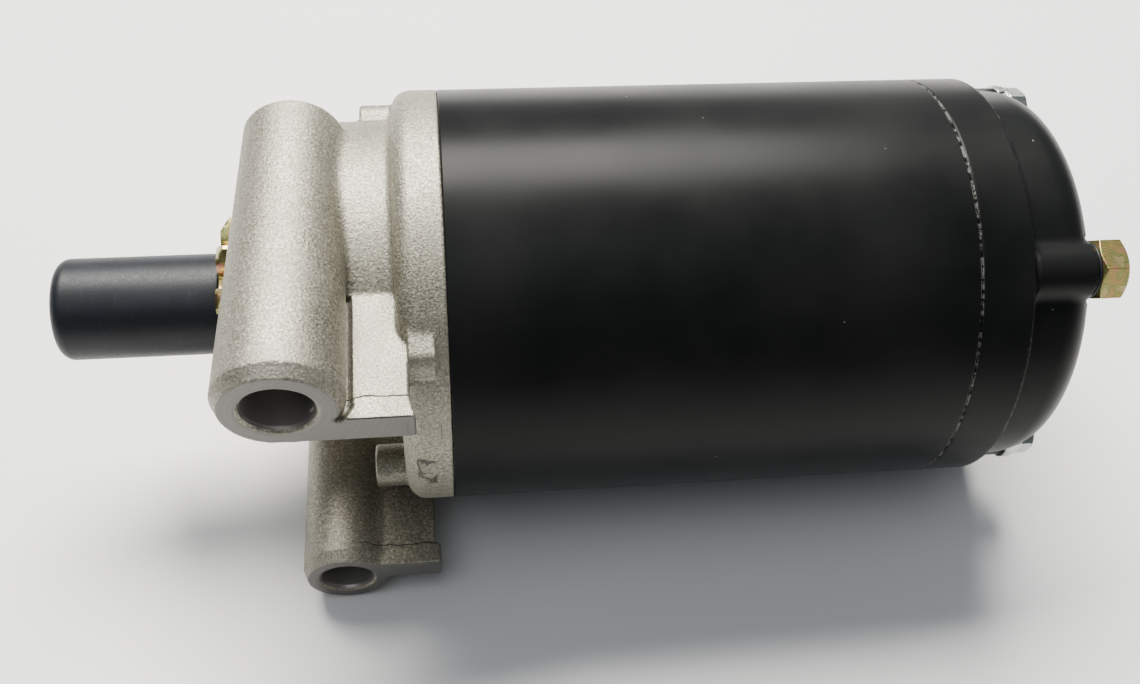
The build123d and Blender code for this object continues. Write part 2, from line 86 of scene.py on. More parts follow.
# The through bolts and the terminal, as angles and radii round the motor axis and stations along X
BOLT_ANGLES = (142.0, 322.0)
BOLT_CIRCLE = 31.9
BOLT_RADIUS = 2.4
PAD_REAR = 141.0
WASHER_REAR = 142.8
BOLT_FLANGE_REAR = 144.1
HEAD_REAR = 147.1
TERMINAL_ANGLE = 52.0
TERMINAL_CIRCLE = 33.0
TERMINAL_BOSS_REAR = 141.9
NUT_FRONT, NUT_REAR = 142.4, 147.2
STUD_FRONT, STUD_REAR = 132.2, 147.0

# The drive at rest, and the brushes
COVER_TIP, COVER_MOUTH = -38.0, -8.4
COVER_RADIUS = 9.33
BRUSH_ANGLES = (7.0, 97.0, 187.0, 277.0)
BRUSH_X = 128.0


def around(radius, angle):
    """The (y, z) place at this radius and angle round the motor axis."""
    return -radius * cos(radians(angle)), radius * sin(radians(angle))


BOLT_PLACES = [around(BOLT_CIRCLE, angle) for angle in BOLT_ANGLES]
TERMINAL = around(TERMINAL_CIRCLE, TERMINAL_ANGLE)


# ---------------------------------------------------------------- node graphs

class Graph:
    """A material's node tree, with short calls for the nodes used here."""

    def __init__(self, name):
        self.material = bpy.data.materials.new(name)
        self.material.use_nodes = True
        self.nodes = self.material.node_tree.nodes
        self.links = self.material.node_tree.links
        self.shader = self.nodes["Principled BSDF"]
        self.place = self.nodes.new("ShaderNodeTexCoord").outputs["Object"]

    def node(self, kind, inputs=None, **settings):
        """Adds a node. Inputs are values or other nodes' output sockets, by socket name or number."""
        made = self.nodes.new(kind)
        for key, value in settings.items():
            setattr(made, key, value)
        for key, value in (inputs or {}).items():
            self.put(made.inputs[key], value)
        return made

    def put(self, socket, value):
        """Sets a socket to a value, or links an output to it."""
        if isinstance(value, bpy.types.NodeSocket):
            self.links.new(value, socket)
        elif hasattr(value, "__len__") and len(value) == 3 and socket.type == "RGBA":
            socket.default_value = (*value, 1.0)
        else:
            socket.default_value = value

    def set(self, **inputs):
        """Sets the shader's sockets: underscores in a keyword stand for spaces."""
        for key, value in inputs.items():
            self.put(self.shader.inputs[key.replace("_", " ")], value)
        return self

    def math(self, operation, a, b=0.0):
        return self.node("ShaderNodeMath", {0: a, 1: b}, operation=operation).outputs[0]

    def noise(self, scale, detail=2.0, roughness=0.5, distortion=0.0, where=None):
        """Noise with features about 1/scale metres across."""
        settings = {"Vector": where or self.place, "Scale": scale, "Detail": detail, "Roughness": roughness,
                    "Distortion": distortion}
        return self.node("ShaderNodeTexNoise", settings).outputs["Fac"]

    def cells(self, scale):
        """The distance from the nearest of points scattered about 1/scale metres apart."""
        return self.node("ShaderNodeTexVoronoi", {"Vector": self.place, "Scale": scale}).outputs["Distance"]

    def stretched(self, x, y, z):
        """The place with each axis scaled, for grain that runs one way."""
        return self.node("ShaderNodeMapping", {"Vector": self.place, "Scale": (x, y, z)}).outputs[0]

    def ramp(self, fac, *stops):
        """A colour ramp: stops are (position, colour or grey level)."""
        made = self.nodes.new("ShaderNodeValToRGB")
        self.put(made.inputs[0], fac)
        elements = made.color_ramp.elements
        while len(elements) < len(stops):
            elements.new(0.5)
        for element, (position, colour) in zip(elements, stops):
            element.position = position
            element.color = (*(colour if hasattr(colour, "__len__") else (colour,) * 3), 1.0)
        return made.outputs["Color"]

    def between(self, fac, low, high, out_low=0.0, out_high=1.0):
        """Maps a value from low..high to out_low..out_high, clamped."""
        return self.node("ShaderNodeMapRange", {"Value": fac, "From Min": low, "From Max": high,
                                                "To Min": out_low, "To Max": out_high}).outputs[0]

    def mix(self, fac, a, b):
        """Colour a where the factor is 0 and b where it is 1."""
        return self.node("ShaderNodeMix", {0: fac, 6: a, 7: b}, data_type="RGBA").outputs[2]

    def axis(self, name):
        """One coordinate of the place: X, Y or Z."""
        return self.node("ShaderNodeSeparateXYZ", {0: self.place}).outputs[name]

    def away(self, first, a, second, b):
        """The distance from a line along the third axis, through a and b in millimetres on these two."""
        squares = [self.math("POWER", self.math("SUBTRACT", self.axis(name), middle * MM), 2.0)
                   for name, middle in ((first, a), (second, b))]
        return self.math("SQRT", self.math("ADD", *squares))

    def near(self, value, middle, reach):
        """1 where a length is at the middle, falling to 0 at this reach from it. Both are in millimetres."""
        off = self.math("ABSOLUTE", self.math("SUBTRACT", value, middle * MM))
        return self.between(off, 0.0, reach * MM, 1.0, 0.0)

    def over(self, *factors):
        """The factors multiplied together."""
        product = factors[0]
        for factor in factors[1:]:
            product = self.math("MULTIPLY", product, factor)
        return product

    def bump(self, height, distance, strength=1.0, under=None):
        """Bump of this height in metres, on top of another bump."""
        inputs = {"Height": height, "Distance": distance, "Strength": strength}
        if under is not None:
            inputs["Normal"] = under
        return self.node("ShaderNodeBump", inputs).outputs[0]


# ---------------------------------------------------------------- materials

def cast_aluminium():
    """Die-cast metal with open grain, machined seat faces and bores, cracked flash and scratches. The seat
    faces' dark colour is painted shade, and the bore walls' light colour is partly painted light.
    """
    g = Graph("cast_aluminium")
    x, y = g.axis("X"), g.axis("Y")
    grain = g.noise(2300, 3.0, 0.62)
    pits = g.between(g.cells(800), 0.02, 0.16)
    patches = g.noise(110, 3.0)
    worn = g.noise(40, 2.0)
    colour = g.ramp(grain, (0.30, (0.11, 0.102, 0.080)), (0.52, (0.27, 0.257, 0.205)),
                    (0.72, (0.54, 0.515, 0.42)))
    colour = g.mix(g.between(patches, 0.35, 0.7, 0.0, 0.45), colour, (0.29, 0.278, 0.235))
    colour = g.mix(g.between(worn, 0.55, 0.72, 0.0, 0.35), colour, (0.25, 0.235, 0.205))
    # the flash line a few millimetres behind the seat faces, and scratches on the rim
    wander = g.math("ADD", y, g.between(g.noise(260, 3.0), 0.3, 0.7, -0.35 * MM, 0.35 * MM))
    crack = g.over(g.near(wander, FLASH_Y, 0.16), g.between(x, 13.5 * MM, 15 * MM),
                   g.between(x, 29.6 * MM, 29.0 * MM))
    scratch = g.over(g.between(g.noise(1.0, 3.0, 0.5, 0.2, g.stretched(3200, 160, 110)), 0.66, 0.69),
                     g.between(x, 23 * MM, 25 * MM), g.between(worn, 0.42, 0.5))
    colour = g.mix(crack, colour, (0.06, 0.055, 0.05))
    colour = g.mix(scratch, colour, (0.12, 0.115, 0.11))
    # cutters left the seat faces and both bores smooth; the seat faces get a dark colour that is painted
    # shade, for faces turned away from the lamp
    upper, lower = [g.away("X", boss["x"], "Z", boss["z"]) for boss in (UPPER, LOWER)]
    rings = g.node("ShaderNodeCombineXYZ", {0: g.math("MULTIPLY", upper, 5200.0),
                                            1: g.math("MULTIPLY", y, 2500.0)})
    cutter = g.noise(1.0, 2.0, where=rings.outputs[0])
    bores = g.math("MAXIMUM", *[g.between(off_axis, (boss["bore"] + 0.25) * MM, (boss["bore"] + 0.05) * MM)
                                for off_axis, boss in ((upper, UPPER), (lower, LOWER))])
    smooth = g.math("MAXIMUM", g.between(y, (SEAT_Y + 0.18) * MM, (SEAT_Y + 0.05) * MM), bores)
    # painted shade: the machined seat faces are given a dark colour
    colour = g.mix(smooth, colour, g.ramp(cutter, (0.3, (0.10, 0.10, 0.092)), (0.7, (0.17, 0.167, 0.152))))
    # painted light inside the bores: the bore walls are lighter than the seat faces, partly the bright bored
    # metal and partly painted light
    colour = g.mix(bores, colour, (0.42, 0.41, 0.39))
    rough_skin = g.math("SUBTRACT", 1.0, smooth)
    skin = g.bump(g.over(grain, rough_skin), 0.16 * MM, 0.75)
    skin = g.bump(g.over(pits, rough_skin), 0.12 * MM, 0.45, skin)
    skin = g.bump(g.math("MAXIMUM", crack, scratch), -0.2 * MM, 0.8, skin)
    skin = g.bump(g.over(cutter, smooth), 0.02 * MM, 0.5, skin)
    g.set(Base_Color=colour, Metallic=0.82, Normal=skin,
          Roughness=g.math("SUBTRACT", g.between(patches, 0.3, 0.7, 0.46, 0.58), g.over(smooth, 0.14)))
    return g.material


def black_paint():
    """Satin black over steel: faint orange peel, dust specks, and chips at the can's rear edge."""
    g = Graph("black_paint")
    x = g.axis("X")
    haze = g.noise(45, 3.0)
    specks = g.between(g.cells(260), 0.045, 0.02)
    chosen = g.between(g.noise(160, 1.0), 0.55, 0.62)
    edge = g.near(x, CAN_REAR, 0.34)
    chip = g.over(edge, g.between(g.noise(1100, 3.0, 0.6, 0.3, g.stretched(0.4, 1, 1)), 0.47, 0.56))
    colour = g.mix(g.between(haze, 0.3, 0.7, 0.0, 1.0), (0.0045, 0.0052, 0.0052), (0.010, 0.011, 0.0105))
    colour = g.mix(g.over(specks, chosen), colour, (0.30, 0.29, 0.27))
    colour = g.mix(chip, colour, (0.34, 0.335, 0.32))
    skin = g.bump(g.noise(900, 2.0), 0.010 * MM, 0.5)
    skin = g.bump(g.over(specks, chosen), 0.03 * MM, 0.6, skin)
    skin = g.bump(chip, -0.05 * MM, 0.8, skin)
    g.set(Base_Color=colour, Metallic=g.over(chip, 0.9), Normal=skin, Specular_IOR_Level=0.08,
          Roughness=g.math("ADD", g.between(haze, 0.3, 0.7, 0.27, 0.35), g.over(g.noise(1500, 2.0), 0.05)))
    return g.material


def plated(name, shades, roughness):
    """Zinc plating: blotches of passivate colour over fine drawn grain, with a few nicks."""
    g = Graph(name)
    blotch = g.noise(330, 3.0, 0.6, 0.6)
    grain = g.noise(1.0, 3.0, 0.6, where=g.stretched(900, 5200, 5200))
    nick = g.between(g.cells(420), 0.07, 0.03)
    colour = g.ramp(blotch, *zip((0.32, 0.45, 0.56, 0.68), shades))
    colour = g.mix(g.between(grain, 0.35, 0.7, 0.0, 0.35), colour, tuple(c * 0.55 for c in shades[0]))
    skin = g.bump(grain, 0.02 * MM, 0.5)
    g.set(Base_Color=colour, Metallic=0.95, Normal=g.bump(nick, -0.05 * MM, 0.6, skin),
          Roughness=g.between(grain, 0.3, 0.7, roughness, roughness + 0.12))
    return g.material


def lathe_turned(name, light, dark, roughness, scratch=0.02):
    """Bare metal with fine rings from turning and a few dull spots."""
    g = Graph(name)
    rings = g.noise(1.0, 3.0, 0.6, where=g.stretched(7000, 250, 250))
    spots = g.noise(260, 3.0)
    colour = g.ramp(rings, (0.35, dark), (0.65, light))
    colour = g.mix(g.between(spots, 0.5, 0.72, 0.0, 0.5), colour, dark)
    g.set(Base_Color=colour, Metallic=1.0, Roughness=g.between(spots, 0.3, 0.7, roughness, roughness + 0.14),
          Normal=g.bump(rings, scratch * MM, 0.6))
    return g.material


def moulded(name, light, dark, roughness, scale=1400, metallic=0.0, gloss=0.5):
    """Moulded or pressed stuff: fine even texture with mottled colour."""
    g = Graph(name)
    texture = g.noise(scale, 4.0, 0.6)
    mottle = g.noise(120, 3.0)
    rubbed = g.between(g.noise(1.0, 3.0, where=g.stretched(2600, 300, 300)), 0.6, 0.7)
    colour = g.mix(g.between(mottle, 0.3, 0.7, 0.0, 1.0), dark, light)
    colour = g.mix(g.over(rubbed, 0.3), colour, tuple(min(c * 1.7 + 0.01, 0.9) for c in light))
    skin = g.bump(texture, 0.03 * MM, 0.6)
    g.set(Base_Color=colour, Metallic=metallic, Specular_IOR_Level=gloss,
          Normal=g.bump(rubbed, -0.01 * MM, 0.4, skin),
          Roughness=g.between(texture, 0.3, 0.7, roughness - 0.05, roughness + 0.08))
    return g.material


def laminated_steel():
    """Stacked sheets: a dark line every half millimetre along the shaft."""
    g = Graph("core_steel")
    wave = g.node("ShaderNodeTexWave", {"Vector": g.place, "Scale": 628.0, "Distortion": 0.4, "Detail": 2.0,
                                        "Detail Scale": 3.0}, bands_direction="X").outputs["Fac"]
    spots = g.noise(300, 3.0)
    colour = g.ramp(wave, (0.1, (0.10, 0.10, 0.105)), (0.5, (0.30, 0.30, 0.31)))
    colour = g.mix(g.between(spots, 0.5, 0.7, 0.0, 0.6), colour, (0.20, 0.14, 0.10))
    g.set(Base_Color=colour, Metallic=0.9, Roughness=g.between(spots, 0.3, 0.7, 0.38, 0.55),
          Normal=g.bump(wave, 0.05 * MM, 0.6))
    return g.material


materials = {
    "cast_aluminium": cast_aluminium(),
    "black_paint": black_paint(),
    "clear_zinc": plated("clear_zinc", ((0.44, 0.48, 0.46), (0.58, 0.64, 0.58), (0.70, 0.73, 0.72),
                                        (0.80, 0.81, 0.80)), 0.24),
    "yellow_zinc": plated("yellow_zinc", ((0.50, 0.20, 0.20), (0.44, 0.33, 0.11), (0.24, 0.30, 0.09),
                                          (0.50, 0.42, 0.19)), 0.25),
    "black_nylon": moulded("black_nylon", (0.010, 0.0125, 0.0165), (0.006, 0.0072, 0.0095), 0.44, 2200,
                           gloss=0.25),
    "steel": lathe_turned("steel", (0.62, 0.62, 0.62), (0.36, 0.36, 0.37), 0.22),
    "core_steel": laminated_steel(),
    "copper": lathe_turned("copper", (0.80, 0.42, 0.24), (0.52, 0.24, 0.12), 0.28, 0.04),
    "phenolic": moulded("phenolic", (0.26, 0.13, 0.06), (0.16, 0.08, 0.04), 0.48),
    "ferrite": moulded("ferrite", (0.085, 0.085, 0.09), (0.05, 0.05, 0.053), 0.6, 2600),
    "bronze": lathe_turned("bronze", (0.66, 0.48, 0.26), (0.42, 0.29, 0.15), 0.38, 0.03),
    "carbon": moulded("carbon", (0.055, 0.054, 0.052), (0.028, 0.028, 0.029), 0.5, 2000, 0.2),
    "sheet_brass": lathe_turned("sheet_brass", (0.80, 0.66, 0.34), (0.56, 0.44, 0.20), 0.3),
}

slot_of = {part["node"]: part["material_slot"] for part in frame["record"]["subparts"]}
for name, cad_node in frame["nodes"].items():
    cad_node.data.materials.clear()
    cad_node.data.materials.append(materials[slot_of[name]])


# ---------------------------------------------------------------- shapes described by distance

# A shape is a function that gives each point's distance from its surface in millimetres, negative inside.
# Points are an array of x, y and z.

def join(a, b, blend=0.0):
    """Both shapes together, with a fillet about as wide as blend where they meet."""
    if not blend:
        return np.minimum(a, b)
    share = np.clip(0.5 + 0.5 * (b - a) / blend, 0, 1)
    return b * (1 - share) + a * share - blend * share * (1 - share)


def cut(a, b, blend=0.0):
    """The first shape without the second."""
    return -join(-a, b, blend)


def within(a, b, edge=0.0):
    """What is inside both shapes, with a rounded edge where they meet."""
    a, b = a + edge, b + edge
    return np.minimum(np.maximum(a, b), 0) + np.hypot(np.maximum(a, 0), np.maximum(b, 0)) - edge


def span(value, low, high):
    """How far a coordinate is outside a range."""
    return np.abs(value - (low + high) / 2) - (high - low) / 2


def rod(p, radius, front, rear, place=(0, 0), edge=0.0):
    """A round bar along X at this (y, z)."""
    x, y, z = p
    return within(np.hypot(y - place[0], z - place[1]) - radius, span(x, front, rear), edge)


def box(p, low, high, edge=0.0):
    x, y, z = [span(value, l, h) for value, l, h in zip(p, low, high)]
    return within(within(x, y, edge), z, edge)


def taper(p, near, far, edge=0.0):
    """A round bar along Y between two sections, each given as (y, x, z, radius)."""
    x, y, z = p
    share = np.clip((y - near[0]) / (far[0] - near[0]), 0, 1)
    middle_x, middle_z, radius = (near[i] + share * (far[i] - near[i]) for i in (1, 2, 3))
    return within(np.hypot(x - middle_x, z - middle_z) - radius, span(y, near[0], far[0]), edge)


def hexagon(p, across_flats, front, rear, place, corner, ends):
    """A hexagonal bar along X with one corner at this angle, its corners turned down at these ends."""
    x, y, z = p[0], p[1] - place[0], p[2] - place[1]
    faces = [around(1.0, corner + 30 + 60 * k) for k in range(3)]
    sides = np.max([np.abs(y * a + z * b) for a, b in faces], axis=0) - across_flats / 2
    shape = within(sides, span(x, front, rear), 0.12)
    past_flats = (np.hypot(y, z) - across_flats / 2 * 0.96) * 0.5
    if "front" in ends:
        shape = np.maximum(shape, past_flats + (front - x) * 0.866)
    if "rear" in ends:
        shape = np.maximum(shape, past_flats + (x - rear) * 0.866)
    return shape


def slope_of(distance, points):
    """The gradient of a distance at these points."""
    rows = []
    for axis in range(3):
        step = np.zeros((3, 1))
        step[axis] = 0.03
        rows.append((distance(points + step) - distance(points - step)) / 0.06)
    return np.array(rows)


def settle(distance, points):
    """Moves points onto the surface along the gradient."""
    gradient = slope_of(distance, points)
    return points - distance(points) * gradient / np.maximum((gradient ** 2).sum(0), 0.25)


def net(distance, low, high, pitch):
    """A net of quads over a shape's surface inside a box, with one point in each cell it crosses."""
    grid = np.stack(np.meshgrid(*[np.arange(l, h + pitch, pitch) for l, h in zip(low, high)], indexing="ij"))
    value = distance(grid)
    inside = value < 0
    shape = [n - 1 for n in inside.shape]
    corners = [(i, j, k) for i in (0, 1) for j in (0, 1) for k in (0, 1)]

    def corner(array, steps):
        return array[tuple(slice(s, s + n) for s, n in zip(steps, shape))]

    full = np.sum([corner(inside, steps) for steps in corners], axis=0)
    crossed = (full > 0) & (full < 8)
    number = np.full(shape, -1)
    number[crossed] = np.arange(crossed.sum())
    total, count = np.zeros((3, crossed.sum())), np.zeros(crossed.sum())
    for a in corners:
        for b in corners:
            if sum(b) - sum(a) == 1 and sum(abs(i - j) for i, j in zip(a, b)) == 1:
                at_a, at_b = corner(value, a)[crossed], corner(value, b)[crossed]
                change = (at_a < 0) != (at_b < 0)
                share = np.where(change, at_a / np.where(change, at_a - at_b, 1), 0)
                for axis in range(3):
                    from_a, from_b = corner(grid[axis], a)[crossed], corner(grid[axis], b)[crossed]
                    total[axis] += change * (from_a + share * (from_b - from_a))
                count += change
    faces = []
    for axis in range(3):
        u, v = [n for n in range(3) if n != axis]
        first = [slice(1, n) for n in shape]
        first[axis] = slice(0, shape[axis])
        second = list(first)
        second[axis] = slice(1, shape[axis] + 1)
        here, there = inside[tuple(first)], inside[tuple(second)]

        def cells(du, dv):
            part = [slice(0, n) for n in shape]
            part[u] = slice(1 - du, shape[u] - du)
            part[v] = slice(1 - dv, shape[v] - dv)
            return number[tuple(part)]

        ring = np.stack([cells(1, 1), cells(0, 1), cells(0, 0), cells(1, 0)], -1)
        if axis == 1:
            ring = ring[..., ::-1]
        faces += [ring[here & ~there], ring[~here & there][:, ::-1]]
    return total / count, np.concatenate(faces)


def surface(distance, low, high, pitch):
    """A shape's surface as (points, faces, normals), with its net evened out."""
    points, faces = net(distance, low, high, pitch)
    size = points.shape[1]
    uses = np.maximum(np.bincount(faces.ravel(), minlength=size), 1)
    for _ in range(3):
        centres = points[:, faces].mean(2)
        middle = [np.bincount(faces.ravel(), np.repeat(row, 4), size) / uses for row in centres]
        points = settle(distance, 0.4 * points + 0.6 * np.array(middle))
    points = settle(distance, points)
    normals = slope_of(distance, points)
    return points, faces, normals / np.linalg.norm(normals, axis=0)


def solid(name, *surfaces):
    """One object from surfaces in millimetres."""
    points, faces, normals, count = [], [], [], 0
    for some_points, some_faces, some_normals in surfaces:
        points.append(some_points.T * MM)
        faces.append(some_faces + count)
        normals.append(some_normals.T)
        count += some_points.shape[1]
    mesh = bpy.data.meshes.new(name)
    mesh.from_pydata(np.concatenate(points).tolist(), [], np.concatenate(faces).tolist())
    mesh.normals_split_custom_set_from_vertices(np.concatenate(normals).tolist())
    return show(name, mesh)


def show(name, mesh):
    piece = bpy.data.objects.new(name, mesh)
    bpy.context.scene.collection.objects.link(piece)
    return piece


def stacked(name, rings):
    """One closed object from rings of the same number of (x, y, z) points, joined each to the next."""
    count, size = len(rings), len(rings[0])
    faces = [(k * size + n, k * size + (n + 1) % size,
              (k + 1) % count * size + (n + 1) % size, (k + 1) % count * size + n)
             for k in range(count) for n in range(size)]
    mesh = bpy.data.meshes.new(name)
    mesh.from_pydata([(x * MM, y * MM, z * MM) for ring in rings for x, y, z in ring], [], faces)
    mesh.shade_smooth()
    mesh.set_sharp_from_angle(angle=radians(35))
    piece = show(name, mesh)
    piece.modifiers.new("even normals", "WEIGHTED_NORMAL").keep_sharp = True
    return piece


def turned(name, outline, place=(0, 0), steps=192):
    """A closed outline of (x, radius) turned round an axis along X, at this (y, z)."""
    turns = [2 * pi * n / steps for n in range(steps)]
    rings = [[(x, place[0] + r * cos(a), place[1] + r * sin(a)) for a in turns] for x, r in outline]
    return stacked(name, rings)


def corner_arc(x, r, radius, start, end, steps=6):
    """Outline points round a corner: 0 degrees looks along +X and 90 degrees outwards."""
    turns = [radians(start + (end - start) * n / steps) for n in range(steps + 1)]
    return [(x + radius * cos(a), r + radius * sin(a)) for a in turns]


def stand_in(piece, body, *nodes):
    """Puts a piece on a body in place of CAD nodes, with the slot and material they share."""
    slot = slot_of[nodes[0]]
    piece.data.materials.append(materials[slot])
    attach(piece, body)
    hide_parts(*nodes)


# ---------------------------------------------------------------- drive end casting

def mounting_boss(p, boss):
    """A long boss with draft, whose first two millimetres narrow to its seat face."""
    x, z = boss["x"], boss["z"]
    body = taper(p, (SEAT_Y + 2.0, x, z, boss["near"]), (BOSS_FAR_Y, boss["far_x"], z, boss["far"]), 0.7)
    lip = taper(p, (SEAT_Y - 1.0, x, z, boss["face"] - 0.5), (SEAT_Y + 2.3, x, z, boss["near"]), 0.1)
    return join(body, lip, 0.3)


def skirt(p):
    """The open-sided wall that joins the flange to both bosses."""
    x, y, z = p
    off_centre = np.hypot(y - SKIRT_CENTRE[0], z - SKIRT_CENTRE[1])
    wall = within(np.abs(off_centre - SKIRT_MIDDLE) - SKIRT_HALF, span(x, SKIRT_FRONT, SKIRT_REAR), 0.8)
    start = -(z * cos(SKIRT_START) + y * sin(SKIRT_START))
    end = z * cos(SKIRT_END) + y * sin(SKIRT_END)
    return within(wall, np.minimum(start, end), 0.8)


def rim_lug(p):
    """A small round lug that stands proud of the rim, with a flat on its upper side."""
    y, z = p[1], p[2]
    middle_y, middle_z = around(34.3, 38.5)
    up_y, up_z = around(1.0, 70.0)
    flat = (y - middle_y) * up_y + (z - middle_z) * up_z - 4.8
    return within(rod(p, 5.7, 25.4, 29.8, (middle_y, middle_z), 0.3), flat, 0.3)


def casting_outside(p):
    """The flange, skirt, bosses and plates, with the fine groove along the foot of the upper boss."""
    x, y, z = p
    flange = within(rod(p, CAN_RADIUS, FLANGE_FRONT, CAN_FRONT + 13.0, edge=FLANGE_EDGE), x - CAN_FRONT, 0.4)
    body = join(flange, skirt(p), 1.8)
    upper = mounting_boss(p, UPPER)
    underside = UPPER_PLATE[0][2]
    body = join(body, np.maximum(upper, underside - z), 1.5)
    flare = 0.9 * np.clip((-36.5 - y) / 5.0, 0, 1) ** 2
    body = join(body, box(np.stack([x - flare, y, z]), *UPPER_PLATE, 0.5), 0.4)
    gate_step = 0.9 * np.clip((-37.7 - y) / 0.7, 0, 1)
    lower_plate = box(np.stack([x - gate_step, y, z]), *LOWER_PLATE, 0.45)
    body = join(body, join(mounting_boss(p, LOWER), lower_plate, 1.3), 1.3)
    for place in BOLT_PLACES:
        body = join(body, rod(p, 4.0, 17.7, CAN_FRONT, place, 0.6), 0.8)
    body = join(body, rim_lug(p), 0.35)
    groove = np.maximum(np.hypot(upper - 0.35, z - 24.3) - 0.75, np.maximum(y + 18.6, 6.0 - x))
    return cut(body, groove, 0.2)


def casting(p):
    """The whole drive end cap: its recess, spigot, hub, bolt holes and both mounting bores as well."""
    x, y, z = p
    behind = CAN_FRONT + 13.0
    body = cut(casting_outside(p), rod(p, RECESS_RADIUS, RECESS_FRONT, behind), 0.4)
    ring = np.abs(np.hypot(y, z) - SPIGOT_MIDDLE) - SPIGOT_HALF
    body = join(body, within(ring, span(x, CAN_FRONT - 1.0, CAN_FRONT + SPIGOT_LENGTH), 0.25))
    body = join(body, rod(p, HUB_RADIUS, HUB_FRONT, HUB_REAR, edge=0.4), 0.8)
    body = cut(body, rod(p, HUB_BORE, 5.0, behind), 0.2)
    for place in BOLT_PLACES:
        body = cut(body, rod(p, BOLT_RADIUS + 0.05, 17.0, behind, place), 0.15)
    for boss in (UPPER, LOWER):
        off_axis = np.hypot(x - boss["x"], z - boss["z"]) - boss["bore"]
        body = cut(body, np.maximum(off_axis, y - BOSS_FAR_Y - 0.6))
        body = cut(body, (off_axis - 0.75 + (y - SEAT_Y)) * 0.7, 0.3)
    return within(body, SEAT_Y - y, 0.12)


def make_casting():
    piece = solid("drive_end_casting", surface(casting, (-6.0, -42.8, -42.0), (36.8, 38.9, 38.9), 0.46))
    stand_in(piece, "housing", "drive_end_cap")


# ---------------------------------------------------------------- can and rear end cap

def cap_hollow(p):
    """The space inside the rear cap, in three widths."""
    ahead = CAN_REAR - 11.0
    wide = join(rod(p, 33.9, ahead, RIM_REAR - 1.0), rod(p, DOME_RADIUS - 3.0, ahead, DOME_REAR - DOME_EDGE))
    return join(wide, rod(p, DOME_RADIUS - DOME_EDGE, ahead, DOME_REAR - 3.0))


def rear_cap(p):
    """The rear end cap: rim, step, rounded end, bolt pads and terminal boss, hollow inside."""
    x, y, z = p
    ahead, behind = CAN_REAR - 11.0, DOME_REAR + 6.0
    rim = rod(p, CAN_RADIUS, CAN_REAR, RIM_REAR, edge=0.4)
    body = join(rim, rod(p, STEP_RADIUS, 128.0, STEP_REAR, edge=0.3), 0.15)
    body = join(body, np.maximum(rod(p, DOME_RADIUS, ahead, DOME_REAR, edge=DOME_EDGE), 129.0 - x), 1.0)
    for place in BOLT_PLACES:
        body = join(body, rod(p, 4.6, 129.0, PAD_REAR, place, 0.4), 0.9)
    body = join(body, rod(p, 5.1, STEP_REAR, TERMINAL_BOSS_REAR, TERMINAL, 0.45), 1.1)
    for place in BOLT_PLACES:
        body = cut(body, rod(p, 5.8, PAD_REAR, behind, place), 0.3)
    body = cut(body, rod(p, 6.1, TERMINAL_BOSS_REAR, behind, TERMINAL), 0.3)
    body = cut(body, cap_hollow(p), 0.2)
    ring = np.abs(np.hypot(y, z) - SPIGOT_MIDDLE) - SPIGOT_HALF
    body = join(body, within(ring, span(x, CAN_REAR - SPIGOT_LENGTH, CAN_REAR + 1.0), 0.25))
    body = cut(join(body, rod(p, 10.5, 133.6, 142.0), 0.6), rod(p, 7.4, 130.0, 141.0))
    for place in BOLT_PLACES:
        body = cut(body, rod(p, 2.6, ahead, behind, place))
    return cut(body, rod(p, 3.9, 131.8, behind, TERMINAL))


def make_rear_cap():
    piece = solid("rear_cap", surface(rear_cap, (117.4, -38.9, -38.9), (144.8, 38.9, 38.9), 0.5))
    stand_in(piece, "housing", "rear_end_cap")


def make_can():
    """A steel tube whose outer edges are barely rounded."""
    front = corner_arc(CAN_FRONT + 0.35, CAN_RADIUS - 0.35, 0.35, 180, 90)
    rear = corner_arc(CAN_REAR - 0.4, CAN_RADIUS - 0.4, 0.4, 90, 0)
    piece = turned("can", front + rear + [(CAN_REAR, CAN_BORE), (CAN_FRONT, CAN_BORE)], steps=256)
    stand_in(piece, "housing", "motor_can")


# ---------------------------------------------------------------- bolts, washers and terminal

def bolt_head(p, place, corner):
    """A flanged hex head with a short length of its shank."""
    flange = rod(p, 4.7, WASHER_REAR, BOLT_FLANGE_REAR, place, 0.25)
    head = hexagon(p, 8.0, BOLT_FLANGE_REAR - 0.5, HEAD_REAR, place, corner, ("rear",))
    return join(join(flange, head, 0.5), rod(p, BOLT_RADIUS, 140.0, 143.0, place))


def shank(p, place):
    return rod(p, BOLT_RADIUS, 18.3, 140.4, place, 0.4)


def lock_washer(p, place):
    """A split ring whose ends stand a little apart."""
    x, y, z = p
    off_axis = np.hypot(y - place[0], z - place[1])
    ring = within(np.abs(off_axis - 3.85) - 1.25, span(x, PAD_REAR, WASHER_REAR), 0.25)
    middle = (PAD_REAR + WASHER_REAR) / 2
    split = np.maximum(np.abs(y - place[0] - (x - middle) * 0.35) - 0.25, place[1] - z)
    return cut(ring, split, 0.1)


def beside(shape, place, low_x, high_x, reach, pitch):
    """A small shape's surface between two stations, inside this reach of a (y, z) place."""
    low, high = [(x, place[0] + side, place[1] + side) for x, side in ((low_x, -reach), (high_x, reach))]
    return surface(shape, low, high, pitch)


def make_bolts():
    heads, shanks = [], []
    for place, corner in zip(BOLT_PLACES, BOLT_ANGLES):
        heads.append(beside(lambda p: bolt_head(p, place, corner), place, 139.7, 147.4, 5.1, 0.15))
        shanks.append(beside(lambda p: shank(p, place), place, 17.9, 140.8, 3.2, 0.4))
    stand_in(solid("bolts", *heads, *shanks), "housing", "through_bolts")


def make_lock_washers():
    rings = [beside(lambda p: lock_washer(p, place), place, 140.8, 143.0, 5.4, 0.15)
             for place in BOLT_PLACES]
    stand_in(solid("split_washers", *rings), "housing", "bolt_lock_washers")


